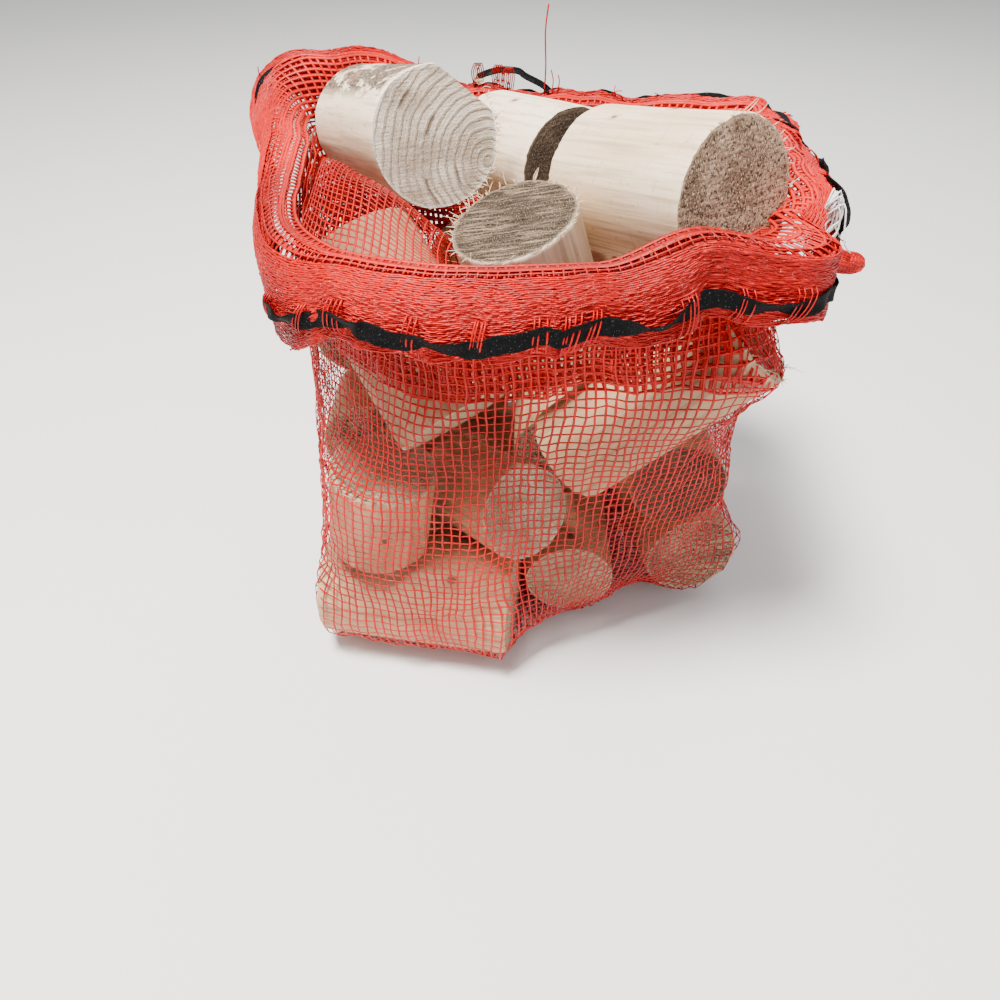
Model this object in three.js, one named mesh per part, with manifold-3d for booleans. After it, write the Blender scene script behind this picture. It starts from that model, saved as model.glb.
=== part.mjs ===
// A red net sack filled with short round logs, its mouth open and its top turned outwards.
// Millimetres, +Z up. The sack stands on its flat bottom, and the origin is at the bottom centre.
import * as THREE from 'three';
import Module from 'manifold-3d';
import { mergeVertices } from 'three/addons/utils/BufferGeometryUtils.js';

const wasm = await Module();
wasm.setup();

const logSides = 32;             // sides of a round log
const slabTurn = 38;             // how far the sawn flat leans to the right of straight up
const netThick = 2;              // the net fabric, knots included
const netGap = 5;                // from the logs to the middle of the fabric
const netColumns = 50;           // round the sack
const levelStep = 24;            // height between two rings of the wall
const wallTop = 288;             // the last ring that follows the logs
const mouthCentre = { x: 2, y: 26 };
const mouthHalf = { x: 164, y: 148 };
const mouthSquareness = 2.8;     // 2 is an ellipse, more is squarer
const foldRun = 17;              // cloth used by the bend at the fold
const cuffSteps = 8;
const cuffClear = 7;             // between the hanging cuff and the wall behind it
const tapeThick = 1.2;
const tapeGap = 1.5;
const tapeSteps = [5, 6, 7];     // the steps of the cuff that the tape lies on
const threadRadius = 1.2;
const threadAngle = 338;
const threadClear = 4;
// The seam thread's way from where it leaves the tape: outwards, along +Y and upwards.
const threadDrop = [[0, 8, 16], [3, 2, 6], [2, -3, -8], [5, -2, -22], [3, -8, -36]];
const topFrom = 262;             // logs above this height shape the mouth

const red = 0xc8322c;
const black = 0x1c1a1c;
const white = 0xe9e6e0;
const cream = 0xdcc6a6;

// Each log from the middle of one end to the middle of the other, as it lies in the sack.
const logs = [
  { name: 'log_top_left', from: [-58, 10, 377], to: [-124, 155, 341], dia: 88, slab: true },
  { name: 'log_top_middle', from: [36, 42, 345], to: [-18, 148, 327], dia: 84 },
  { name: 'log_top_right', from: [117, -78, 371], to: [52, 18, 348], dia: 93 },
  { name: 'log_centre_sawn', from: [-9, -60, 353], to: [21, -41, 257], dia: 80 },
  { name: 'log_front_left', from: [-47, -84, 222], to: [-116, -5, 311], dia: 88 },
  { name: 'log_middle_left', from: [-102, -79, 175], to: [-113, -76, 101], dia: 80 },
  { name: 'log_front_right', from: [34, -68, 179], to: [141, -83, 290], dia: 75 },
  { name: 'log_middle_front', from: [2, -93, 142], to: [-55, -2, 100], dia: 75 },
  { name: 'log_bottom_left', from: [-6, -96, 48], to: [-156, -70, 49], dia: 90 },
  { name: 'log_bottom_middle', from: [41, -75, 49], to: [43, 70, 47], dia: 74 },
  { name: 'log_bottom_right', from: [146, -55, 58], to: [126, 80, 52], dia: 80 },
  { name: 'log_middle_right', from: [119, -70, 149], to: [113, 60, 142], dia: 75 },
  { name: 'log_inner_low', from: [-152, 32, 44], to: [-12, 36, 44], dia: 76 },
  { name: 'log_back_low_left', from: [-142, 118, 46], to: [8, 120, 45], dia: 82 },
  { name: 'log_back_low_right', from: [50, 134, 42], to: [162, 130, 44], dia: 76 },
  { name: 'log_inner_left', from: [-128, 6, 131], to: [-127, 76, 131], dia: 78 },
  { name: 'log_back_middle_left', from: [-148, 124, 131], to: [-10, 121, 134], dia: 82 },
  { name: 'log_inner_middle', from: [31, -5, 128], to: [38, 138, 126], dia: 76 },
  { name: 'log_upper_left', from: [-128, 34, 223], to: [-126, 158, 218], dia: 83 },
  { name: 'log_upper_back', from: [-36, 42, 222], to: [-41, 165, 221], dia: 83 },
  { name: 'log_back_upper_right', from: [16, 128, 210], to: [150, 118, 214], dia: 80 },
  { name: 'log_inner_right', from: [58, 36, 226], to: [162, 30, 236], dia: 75 },
  { name: 'log_back_top_right', from: [74, 112, 300], to: [158, 96, 304], dia: 80 },
];

// The mouth at places round the sack, in degrees from +X towards the back: the height of the fold,
// the way the cloth heads after it (90 stands up, -88 hangs down outside) and its length there.
const mouth = [
  { angle: 0, fold: 352, heads: 40, length: 38 },
  { angle: 35, fold: 345, heads: 76, length: 42 },
  { angle: 65, fold: 322, heads: 86, length: 42 },
  { angle: 100, fold: 318, heads: 86, length: 42 },
  { angle: 135, fold: 344, heads: 78, length: 46 },
  { angle: 160, fold: 350, heads: 20, length: 42 },
  { angle: 185, fold: 348, heads: -64, length: 50 },
  { angle: 215, fold: 346, heads: -84, length: 62 },
  { angle: 250, fold: 348, heads: -88, length: 54 },
  { angle: 285, fold: 348, heads: -88, length: 52 },
  { angle: 315, fold: 362, heads: -88, length: 56 },
  { angle: 340, fold: 360, heads: -30, length: 42 },
];

const radians = THREE.MathUtils.degToRad;
const vector = (point) => new THREE.Vector3(...point);

// A row of the mouth's values at any angle, eased from one place to the next.
function mouthAt(angle) {
  const turn = ((angle % 360) + 360) % 360;
  const next = mouth.findIndex((place) => place.angle > turn);
  const right = mouth[next === -1 ? 0 : next];
  const left = mouth[(next === -1 ? mouth.length : next) - 1];
  const span = (right.angle - left.angle + 360) % 360;
  const share = THREE.MathUtils.smoothstep((turn - left.angle + 360) % 360, 0, span);
  const mix = (key) => THREE.MathUtils.lerp(left[key], right[key], share);
  return { fold: mix('fold'), heads: mix('heads'), length: mix('length') };
}

function toManifold(geometry) {
  const bare = geometry.clone();
  bare.deleteAttribute('normal');
  bare.deleteAttribute('uv');
  const merged = mergeVertices(bare, 1e-4);
  return new wasm.Manifold(new wasm.Mesh({
    numProp: 3,
    vertProperties: new Float32Array(merged.attributes.position.array),
    triVerts: new Uint32Array(merged.index.array),
  }));
}

function fromManifold(solid) {
  const mesh = solid.getMesh();
  const geometry = new THREE.BufferGeometry();
  geometry.setAttribute('position', new THREE.BufferAttribute(mesh.vertProperties, 3));
  geometry.setIndex(new THREE.BufferAttribute(mesh.triVerts, 1));
  geometry.computeVertexNormals();
  return geometry;
}

// A round log along its own Y. The slab log has one flat sawn along it.
function logGeometry(log, length) {
  const round = new THREE.CylinderGeometry(log.dia / 2, log.dia / 2, length, logSides);
  if (!log.slab) return round;
  const slabDepth = log.dia * 0.1;
  const cutter = new THREE.BoxGeometry(log.dia, length * 2, log.dia);
  cutter.translate(0, 0, log.dia - slabDepth);
  cutter.rotateY(radians(slabTurn));
  return fromManifold(toManifold(round).subtract(toManifold(cutter)));
}

// A log on its way from one end to the other.
function logMesh(log) {
  const from = vector(log.from);
  const along = vector(log.to).sub(from);
  const material = new THREE.MeshStandardMaterial({ color: cream, roughness: 0.75, metalness: 0 });
  const mesh = new THREE.Mesh(logGeometry(log, along.length()), material);
  mesh.name = log.name;
  mesh.quaternion.setFromUnitVectors(new THREE.Vector3(0, 1, 0), along.clone().normalize());
  mesh.position.copy(from).addScaledVector(along, 0.5);
  return mesh;
}

// Points on the rims and sides of all logs, which the net is laid round.
function logPoints() {
  const points = [];
  for (const log of logs) {
    const from = vector(log.from);
    const along = vector(log.to).sub(from);
    const across = new THREE.Vector3(0, 0, 1).cross(along).normalize();
    if (across.lengthSq() < 0.5) across.set(1, 0, 0);
    const up = along.clone().normalize().cross(across);
    for (let step = 0; step <= 12; step += 1) {
      for (let side = 0; side < logSides; side += 1) {
        const turn = (side / logSides) * 2 * Math.PI;
        points.push(from.clone().addScaledVector(along, step / 12)
          .addScaledVector(across, Math.cos(turn) * log.dia / 2)
          .addScaledVector(up, Math.sin(turn) * log.dia / 2));
      }
    }
  }
  return points;
}

// How far a stretched net stands out from the middle in one direction, round the given points:
// the ray meets the nearest of the lines that hold all the points back.
function hullReach(points, angle) {
  let reach = Infinity;
  for (let lean = -80; lean <= 80; lean += 4) {
    const way = radians(angle + lean);
    const wayX = Math.cos(way);
    const wayY = Math.sin(way);
    let out = -Infinity;
    for (const point of points) {
      out = Math.max(out, (point.x - mouthCentre.x) * wayX + (point.y - mouthCentre.y) * wayY);
    }
    reach = Math.min(reach, (out + netGap) / Math.cos(radians(lean)));
  }
  return reach;
}

// The same with room for the flat faces between two columns, which cut across a corner.
function netReach(points, angle) {
  const half = 180 / netColumns;
  return Math.max(...[-half, 0, half].map((turn) => hullReach(points, angle + turn)));
}

// The outline that the mouth keeps where no log pushes it out.
function mouthReach(angle) {
  const x = Math.abs(Math.cos(radians(angle)) / mouthHalf.x);
  const y = Math.abs(Math.sin(radians(angle)) / mouthHalf.y);
  return (x ** mouthSquareness + y ** mouthSquareness) ** (-1 / mouthSquareness);
}

// The middle line of the cloth in one upright cut, as points of reach and height, from the middle
// of the bottom, up the wall and over the fold to the hem.
function clothLine(angle, wall, rim) {
  const place = mouthAt(angle);
  const half = netThick / 2;
  const line = [[0, half], [wall[0] * 0.5, half], [wall[0], half]];
  wall.slice(1).forEach((reach, level) => line.push([reach, (level + 1) * levelStep]));
  const rise = place.fold - wallTop;
  const hips = wall[wall.length - 1];
  line.push([Math.max(hips, rim), wallTop + rise * 0.4]);
  line.push([rim, place.fold]);
  let reach = rim;
  let height = place.fold;
  const step = place.length / cuffSteps;
  for (let count = 0; count < cuffSteps; count += 1) {
    const bent = Math.min(1, ((count + 0.5) * step) / foldRun);
    const heads = radians(THREE.MathUtils.lerp(90, place.heads, bent));
    reach += Math.cos(heads) * step;
    height += Math.sin(heads) * step;
    const hangs = THREE.MathUtils.smoothstep(-place.heads, 0, 80) * Math.min(1, count / 3);
    const behind = Math.max(rim, hips) + cuffClear;
    line.push([Math.max(reach, THREE.MathUtils.lerp(rim, behind, hangs)), height]);
  }
  return line;
}

// The line moved sideways by the given distance, to the left of its way.
function sideLine(line, distance) {
  return line.map((point, index) => {
    const before = line[Math.max(index - 1, 0)];
    const after = line[Math.min(index + 1, line.length - 1)];
    const run = new THREE.Vector2(after[0] - before[0], after[1] - before[1]).normalize();
    const reach = index === 0 ? 0 : point[0] - run.y * distance;
    return [reach, point[1] + run.x * distance];
  });
}

const place3 = (angle, [reach, height]) => [
  mouthCentre.x + Math.cos(radians(angle)) * reach,
  mouthCentre.y + Math.sin(radians(angle)) * reach,
  height,
];

// A closed skin over rings of points that run round the sack. Either the last ring joins the
// first, or each end is closed with a fan to its own middle point.
function skin(rings, middles) {
  const positions = rings.flat(2);
  const index = [];
  const at = (ring, column) => ring * netColumns + (column % netColumns);
  const last = middles ? rings.length - 1 : rings.length;
  for (let ring = 0; ring < last; ring += 1) {
    const over = (ring + 1) % rings.length;
    for (let column = 0; column < netColumns; column += 1) {
      index.push(at(ring, column), at(ring, column + 1), at(over, column + 1));
      index.push(at(ring, column), at(over, column + 1), at(over, column));
    }
  }
  if (middles) {
    const first = rings.length * netColumns;
    positions.push(...middles[0], ...middles[1]);
    for (let column = 0; column < netColumns; column += 1) {
      index.push(first, at(0, column + 1), at(0, column));
      index.push(first + 1, at(last, column), at(last, column + 1));
    }
  }
  const geometry = new THREE.BufferGeometry();
  geometry.setAttribute('position', new THREE.Float32BufferAttribute(positions, 3));
  geometry.setIndex(index);
  geometry.computeVertexNormals();
  return geometry;
}

function plainMesh(name, geometry, color, roughness) {
  const mesh = new THREE.Mesh(geometry, new THREE.MeshStandardMaterial({ color, roughness }));
  mesh.name = name;
  return mesh;
}

// The net sack: one cloth from its bottom up the wall, over the fold and down to the hem.
function netBag(lines) {
  const outer = lines[0].line.map((_, row) => lines.map(({ angle, line }) => (
    place3(angle, sideLine(line, -netThick / 2)[row]))));
  const inner = lines[0].line.map((_, row) => lines.map(({ angle, line }) => (
    place3(angle, sideLine(line, netThick / 2)[row]))));
  const rings = [...outer.slice(1), ...inner.slice(1).reverse()];
  const { x, y } = mouthCentre;
  return plainMesh('net_bag', skin(rings, [[x, y, 0], [x, y, netThick]]), red, 0.45);
}

// The flat woven tape, threaded round the mouth on the face of the cloth that is turned outwards.
function drawstringTape(lines) {
  const near = netThick / 2 + tapeGap;
  const side = (distance, steps) => steps.map((step) => lines.map(({ angle, line }) => {
    const row = line.length - 1 - cuffSteps + step;
    return place3(angle, sideLine(line, distance)[row]);
  }));
  const rings = [...side(near, tapeSteps), ...side(near + tapeThick, tapeSteps.toReversed())];
  return plainMesh('drawstring_tape', skin(rings), black, 0.85);
}

// The end of the white sewing thread, which hangs from the tape at the right corner of the mouth.
function seamThread(lines) {
  const { angle, line } = lines[Math.round((threadAngle / 360) * netColumns)];
  const off = netThick / 2 + tapeGap + tapeThick + threadRadius + threadClear;
  const [reach, height] = sideLine(line, off)[line.length - 2];
  const start = place3(angle, [reach, height]);
  const points = threadDrop.map(([out, along, up]) => new THREE.Vector3(
    start[0] + out, start[1] + along, start[2] + up,
  ));
  const section = new THREE.Shape();
  section.absarc(0, 0, threadRadius, 0, 2 * Math.PI);
  const tube = new THREE.ExtrudeGeometry(section, {
    steps: 24, curveSegments: 8, extrudePath: new THREE.CatmullRomCurve3(points),
    bevelEnabled: false,
  });
  return plainMesh('seam_thread', tube, white, 0.9);
}

const group = new THREE.Group();
const sack = new THREE.Group();
logs.forEach((log) => sack.add(logMesh(log)));

const wood = logPoints();
const topWood = wood.filter((point) => point.z > topFrom);
const bands = [];
for (let height = 0; height <= wallTop; height += levelStep) {
  bands.push(wood.filter((point) => Math.abs(point.z - height) <= levelStep));
}
const lines = [];
for (let column = 0; column < netColumns; column += 1) {
  const angle = (column / netColumns) * 360;
  const wall = bands.map((band) => netReach(band, angle));
  const rim = Math.max(mouthReach(angle), netReach(topWood, angle));
  lines.push({ angle, line: clothLine(angle, wall, rim) });
}
sack.add(netBag(lines), drawstringTape(lines), seamThread(lines));

// The origin is under the middle of the whole object.
const box = new THREE.Box3().setFromObject(sack, true);
sack.position.set(-(box.min.x + box.max.x) / 2, -(box.min.y + box.max.y) / 2, -box.min.z);
group.add(sack);

export default group;
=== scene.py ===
import bmesh
import bpy
import math
import numpy as np
from mathutils import Matrix, Vector, noise


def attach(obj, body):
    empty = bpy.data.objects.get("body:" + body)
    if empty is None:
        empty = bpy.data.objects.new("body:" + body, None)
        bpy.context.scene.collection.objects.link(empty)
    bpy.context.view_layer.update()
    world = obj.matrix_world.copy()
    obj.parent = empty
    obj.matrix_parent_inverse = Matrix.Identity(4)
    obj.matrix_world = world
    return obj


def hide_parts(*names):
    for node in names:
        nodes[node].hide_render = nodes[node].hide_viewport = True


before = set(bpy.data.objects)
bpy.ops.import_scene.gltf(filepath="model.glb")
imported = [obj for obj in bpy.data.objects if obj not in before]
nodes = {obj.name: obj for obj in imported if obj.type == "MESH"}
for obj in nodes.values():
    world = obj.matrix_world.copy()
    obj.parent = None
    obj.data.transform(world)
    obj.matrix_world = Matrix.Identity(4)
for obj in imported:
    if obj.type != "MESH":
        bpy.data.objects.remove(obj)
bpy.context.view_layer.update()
print("frame loaded:", len(nodes), "solids")

view = {
    'place': (-0.0216, -0.5516, 0.549),
    'down': math.radians(42),            # below level
    'lens': 28.8,
    'sensor': 36,
}


def addCamera():
    data = bpy.data.cameras.new('sackCamera')
    data.lens = view['lens']
    data.sensor_width = view['sensor']
    camera = bpy.data.objects.new('sackCamera', data)
    camera.location = view['place']
    camera.rotation_euler = (math.radians(90) - view['down'], 0, 0)
    bpy.context.scene.collection.objects.link(camera)
    bpy.context.scene.camera = camera


addCamera()
eye = Vector(view['place'])


class Wire:                              # a socket that adds, multiplies and mixes like a number
    def __init__(self, tree, socket=None):
        self.tree = tree
        self.socket = socket

    def node(self, kind, settings=None, values=None, out=0):
        made = self.tree.nodes.new(kind)
        for key, value in (settings or {}).items():
            setattr(made, key, value)
        for key, value in (values or {}).items():
            if isinstance(value, Wire):
                self.tree.links.new(value.socket, made.inputs[key])
            else:
                made.inputs[key].default_value = value
        return Wire(self.tree, made.outputs[out])

    def maths(self, operation, first, second=0.0):
        return self.node('ShaderNodeMath', {'operation': operation}, {0: first, 1: second})

    def sine(self):
        return self.maths('SINE', self)

    def __add__(self, other):
        return self.maths('ADD', self, other)

    def __sub__(self, other):
        return self.maths('SUBTRACT', self, other)

    def __mul__(self, other):
        return self.maths('MULTIPLY', self, other)

    def __rsub__(self, other):
        return self.maths('SUBTRACT', other, self)

    __radd__ = __add__
    __rmul__ = __mul__

    def step(self, low, high):           # 0 below low, 1 above high, eased between
        return self.node('ShaderNodeMapRange', {'interpolation_type': 'SMOOTHSTEP'},
                         {'Value': self, 'From Min': low, 'From Max': high})

    def blend(self, first, second):      # two colours, by this value
        ends = [colour if isinstance(colour, Wire) else colour4(colour) for colour in (first, second)]
        return self.node('ShaderNodeMix', {'data_type': 'RGBA'}, {0: self, 6: ends[0], 7: ends[1]}, 2)

    def stretch(self, scale, move=(0, 0, 0)):     # a vector, scaled and moved
        scaled = self.node('ShaderNodeVectorMath', {'operation': 'MULTIPLY'}, {0: self, 1: scale})
        return self.node('ShaderNodeVectorMath', {'operation': 'ADD'}, {0: scaled, 1: move})

    def length(self):                    # of this vector
        return self.node('ShaderNodeVectorMath', {'operation': 'LENGTH'}, {0: self}, 1)

    def speckle(self, scale, detail=3.0, rough=0.55):     # noise at this vector
        return self.node('ShaderNodeTexNoise', {},
                         {'Vector': self, 'Scale': scale, 'Detail': detail, 'Roughness': rough})

    def part(self, index):               # one number of a vector
        return self.node('ShaderNodeSeparateXYZ', {}, {0: self}, index)


def colour4(colour):
    return (*colour[:3], 1.0)


def startMaterial(name):
    material = bpy.data.materials.new(name)
    material.use_nodes = True
    tree = material.node_tree
    tree.nodes.clear()
    return material, Wire(tree)


def endMaterial(wires, colour, rough, bump=None, strength=0.3, depth=0.001, **fixed):
    tree = wires.tree
    shader = tree.nodes.new('ShaderNodeBsdfPrincipled')
    for key, value in {'Base Color': colour, 'Roughness': rough}.items():
        if isinstance(value, Wire):
            tree.links.new(value.socket, shader.inputs[key])
        else:
            shader.inputs[key].default_value = value
    for key, value in fixed.items():
        shader.inputs[key.replace('_', ' ')].default_value = value
    if bump is not None:
        raised = wires.node('ShaderNodeBump', {}, {'Height': bump, 'Strength': strength, 'Distance': depth})
        tree.links.new(raised.socket, shader.inputs['Normal'])
    output = tree.nodes.new('ShaderNodeOutputMaterial')
    tree.links.new(shader.outputs[0], output.inputs[0])


studio = {
    'floor': (0.90, 0.90, 0.89),
    'world': (0.95, 0.97, 1.0),
    'worldStrength': 0.48,
    'key': {'place': (-0.45, -0.35, 2.1), 'size': 0.55, 'power': 150, 'colour': (1.0, 0.96, 0.90)},
    'fill': {'place': (1.3, -1.4, 1.0), 'size': 1.6, 'power': 9, 'colour': (0.95, 0.97, 1.0)},
    'back': {'place': (0.4, 1.5, 1.6), 'size': 1.4, 'power': 14, 'colour': (1.0, 1.0, 1.0)},
}


def addStudio():
    bpy.ops.mesh.primitive_plane_add(size=12)
    floor = bpy.context.object
    floor.name = 'floor'
    material, wires = startMaterial('paleFloor')
    place = wires.node('ShaderNodeTexCoord', out=3)
    mottled = place.speckle(3.0, 2.0).blend(studio['floor'], (0.84, 0.84, 0.83, 1))
    endMaterial(wires, mottled, 0.7)
    floor.data.materials.append(material)
    for name in ('key', 'fill', 'back'):
        lamp = studio[name]
        data = bpy.data.lights.new(name, 'AREA')
        data.size = lamp['size']
        data.energy = lamp['power']
        data.color = lamp['colour']
        light = bpy.data.objects.new(name, data)
        light.location = lamp['place']
        aim = Vector((0, 0, 0.2)) - light.location
        light.rotation_euler = aim.to_track_quat('-Z', 'Y').to_euler()
        bpy.context.scene.collection.objects.link(light)
    world = bpy.data.worlds.new('paleWorld')
    bpy.context.scene.world = world
    world.use_nodes = True
    world.node_tree.nodes['Background'].inputs[0].default_value = colour4(studio['world'])
    world.node_tree.nodes['Background'].inputs[1].default_value = studio['worldStrength']


addStudio()
print("camera, floor and lights set")

logBuild = {
    'sides': 72,
    'cuts': 30,                          # rings along the side
    'insets': 11,                        # rings on each sawn end
    'lump': 0.0010,
    'rim': 0.0009,
}
# colours of the logs below the top row, darkened and reddened: painted shade under the turned-out mouth and
# painted red light thrown back by the net
shadedCream, shadedTan, shadedSand = (0.60, 0.375, 0.22), (0.44, 0.245, 0.13), (0.52, 0.315, 0.175)
# near is the end that faces the viewer; a knot is (share along, turn in degrees, radius)
logLooks = {
    'log_top_left': {'near': 'ringed', 'far': 'sawn', 'pale': (0.88, 0.75, 0.56), 'dark': (0.72, 0.52, 0.32),
                     'knots': [(0.62, 60, 0.004)], 'bark': 1.0, 'tufts': [(0, 135, 262, 90)], 'fine': 2},
    'log_top_middle': {'near': 'barkyAndShaded', 'far': 'sawn', 'pale': (0.85, 0.73, 0.56), 'dark': (0.70, 0.51, 0.33),
                       'knots': [(0.55, 75, 0.003)], 'fine': 1},
    'log_top_right': {'near': 'fuzzy', 'far': 'sawn', 'pale': (0.86, 0.73, 0.55), 'dark': (0.70, 0.50, 0.31),
                      'knots': [(0.45, 95, 0.003), (0.72, 70, 0.0024), (0.3, 150, 0.002)], 'fine': 2,
                      'tufts': [(0, 60, 300, 60)]},
    # the centre log's colours are darker than the top logs': painted shade from the logs above it
    'log_centre_sawn': {'near': 'sawn', 'far': 'fuzzy', 'pale': (0.76, 0.62, 0.45),
                        'dark': (0.52, 0.36, 0.22), 'knots': [], 'tufts': [(0, 0, 360, 110)], 'fine': 2},
    'log_front_left': {'near': 'fresh', 'far': 'fresh', 'pale': shadedCream, 'dark': shadedSand,
                       'knots': [(0.5, 100, 0.003)]},
    'log_middle_left': {'near': 'speckled', 'far': 'sawn', 'pale': shadedCream, 'dark': shadedTan,
                        'knots': [(0.5, 80, 0.003)], 'tufts': [(0, 20, 160, 60)]},
    'log_front_right': {'near': 'fresh', 'far': 'fuzzy', 'pale': shadedCream, 'dark': shadedSand,
                        'knots': [(0.4, 120, 0.004)], 'tufts': [(0, 230, 380, 80)]},
    'log_middle_front': {'near': 'speckled', 'far': 'sawn', 'pale': shadedCream, 'dark': shadedTan, 'knots': []},
    'log_bottom_left': {'near': 'fresh', 'far': 'sawn', 'pale': shadedCream, 'dark': shadedSand,
                        'knots': [(0.3, 60, 0.004), (0.7, 100, 0.0035)]},
    'log_bottom_middle': {'near': 'fresh', 'far': 'fuzzy', 'pale': shadedSand, 'dark': shadedTan,
                          'knots': [(0.1, 90, 0.004)]},
    'log_bottom_right': {'near': 'fuzzy', 'far': 'fresh', 'pale': shadedCream, 'dark': shadedTan,
                         'knots': [(0.3, 90, 0.003)]},
    'log_middle_right': {'near': 'barkyAndShaded', 'far': 'fuzzy', 'pale': shadedSand, 'dark': shadedTan, 'knots': []},
}
plainLook = {'near': 'fuzzy', 'far': 'fresh', 'pale': shadedCream, 'dark': shadedTan, 'knots': [(0.4, 80, 0.0035)]}


def cylinderOf(node):                    # the two end middles and the radius of a log's solid
    mesh = node.data
    count = len(mesh.vertices)
    points = np.empty(count * 3)
    mesh.vertices.foreach_get('co', points)
    points = points.reshape(-1, 3)
    groups = {}
    for face in mesh.polygons:
        key = tuple(round(value, 1) + 0.0 for value in face.normal)
        groups.setdefault(key, []).append(face)
    areas = {key: sum(face.area for face in faces) for key, faces in groups.items()}
    best = (0, None, None)
    for key in groups:
        for other in groups:
            if sum((a + b) ** 2 for a, b in zip(key, other)) < 0.03 and other > key:
                both = min(areas[key], areas[other])
                if both > best[0]:
                    best = (both, key, other)
    ends = []
    for key in best[1:]:
        normal = np.array(groups[key][0].normal)
        used = sorted({index for face in groups[key] for index in face.vertices})
        rim = points[used]
        away = np.linalg.norm(rim - rim.mean(0), axis=1)
        rim = rim[away > away.max() * 0.6]           # leaves out the fan's middle
        one = np.cross(normal, (0.3, 0.5, 0.81))
        one /= np.linalg.norm(one)
        two = np.cross(normal, one)
        flat = np.column_stack((rim @ one, rim @ two))
        system = np.column_stack((2 * flat, np.ones(len(flat))))
        solved = np.linalg.lstsq(system, (flat ** 2).sum(1), rcond=None)[0]
        middle = solved[0] * one + solved[1] * two + (rim @ normal).mean() * normal
        ends.append((middle, math.sqrt(solved[2] + solved[0] ** 2 + solved[1] ** 2)))
    ends.sort(key=lambda end: (Vector(end[0]) - eye).length)
    return Vector(ends[0][0]), Vector(ends[1][0]), (ends[0][1] + ends[1][1]) / 2


def logFrame(start, end):                # local Y is up, local Z runs from the near end to the far end
    away = (end - start).normalized()
    up = Vector((0, 0, 1)) - away * away.z
    if up.length < 0.35:
        up = Vector((0, -1, 0)) - away * -away.y
    up.normalize()
    side = up.cross(away)
    turned = Matrix((side, up, away)).transposed().to_4x4()
    return Matrix.Translation(start) @ turned


logs = {}
for name in nodes:
    if name.startswith('log_'):
        start, end, radius = cylinderOf(nodes[name])
        logs[name] = {'radius': radius, 'length': (end - start).length, 'matrix': logFrame(start, end)}


def knotPlace(log, knot):
    share, turn = knot[:2]
    angle = math.radians(turn)
    return (math.cos(angle) * log['radius'], math.sin(angle) * log['radius'], share * log['length'])


def sideWood(name, look, log, seed):     # the peeled side: long grain, blotches, scratches and knots
    material, wires = startMaterial(name + '_side')
    grain = wires.node('ShaderNodeAttribute', {'attribute_name': 'grain'}, out=1)
    moved = grain.stretch((1, 1, 1), (seed * 0.31, seed * 0.17, seed * 0.11))
    broad = moved.stretch((22, 22, 7)).speckle(1.0, 3.0)
    fine = moved.stretch((330, 330, 16)).speckle(1.0, 5.0, 0.62)
    streak = moved.stretch((150, 150, 5)).speckle(1.0, 3.0)
    scratch = moved.stretch((90, 90, 420)).speckle(1.0, 2.0).step(0.62, 0.70)
    fleck = moved.stretch((300, 300, 120)).speckle(1.0, 2.0).step(0.68, 0.74)
    tint = broad.step(0.36, 0.68).blend(look['pale'], look['dark'])
    deep = tuple(value * 0.62 for value in look['dark'])
    tint = (streak.step(0.50, 0.72) * 0.7).blend(tint, deep)
    light = tuple(min(1.0, value * 1.10) for value in look['pale'])
    tint = (fine.step(0.5, 0.72) * 0.5).blend(tint, light)
    tint = ((1 - fine.step(0.34, 0.50)) * 0.5).blend(tint, deep)
    tint = (scratch * 0.35).blend(tint, (0.45, 0.30, 0.17))
    tint = (fleck * 0.55).blend(tint, (0.34, 0.20, 0.12))
    height = fine * 0.5 + streak * 0.5 - scratch * 0.25
    along = grain.part(2)
    if look.get('bark'):                 # brown and grey bark left along the top
        up = grain.part(1) * (1 / log['radius'])
        patch = moved.stretch((60, 60, 26)).speckle(1.0, 4.0, 0.65)
        rough = moved.stretch((500, 500, 260)).speckle(1.0, 4.0)
        left = patch.step(0.43, 0.49) * up.step(0.55, 0.75) * along.step(0.002, 0.012)
        brown = rough.step(0.38, 0.66).blend((0.055, 0.034, 0.022), (0.26, 0.19, 0.14))
        tint = (left * look['bark']).blend(tint, brown)
        height = height + left * 1.4
    for knot in look['knots']:
        middle = knotPlace(log, knot)
        size = knot[2]
        off = grain.stretch((1, 1, 0.8), (-middle[0], -middle[1], -middle[2] * 0.8))
        away = off.length()
        ragged = away + (fine - 0.5) * (size * 0.7)
        halo = 1 - ragged.step(size * 1.0, size * 2.2)
        core = 1 - ragged.step(size * 0.55, size * 0.95)
        tint = (halo * 0.5).blend(tint, (0.42, 0.24, 0.13))
        tint = (core * 0.9).blend(tint, (0.12, 0.065, 0.04))
        height = height - core * 0.8
    endMaterial(wires, tint, fine * 0.12 + 0.66, height, 0.45, 0.0009)
    return material


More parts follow.
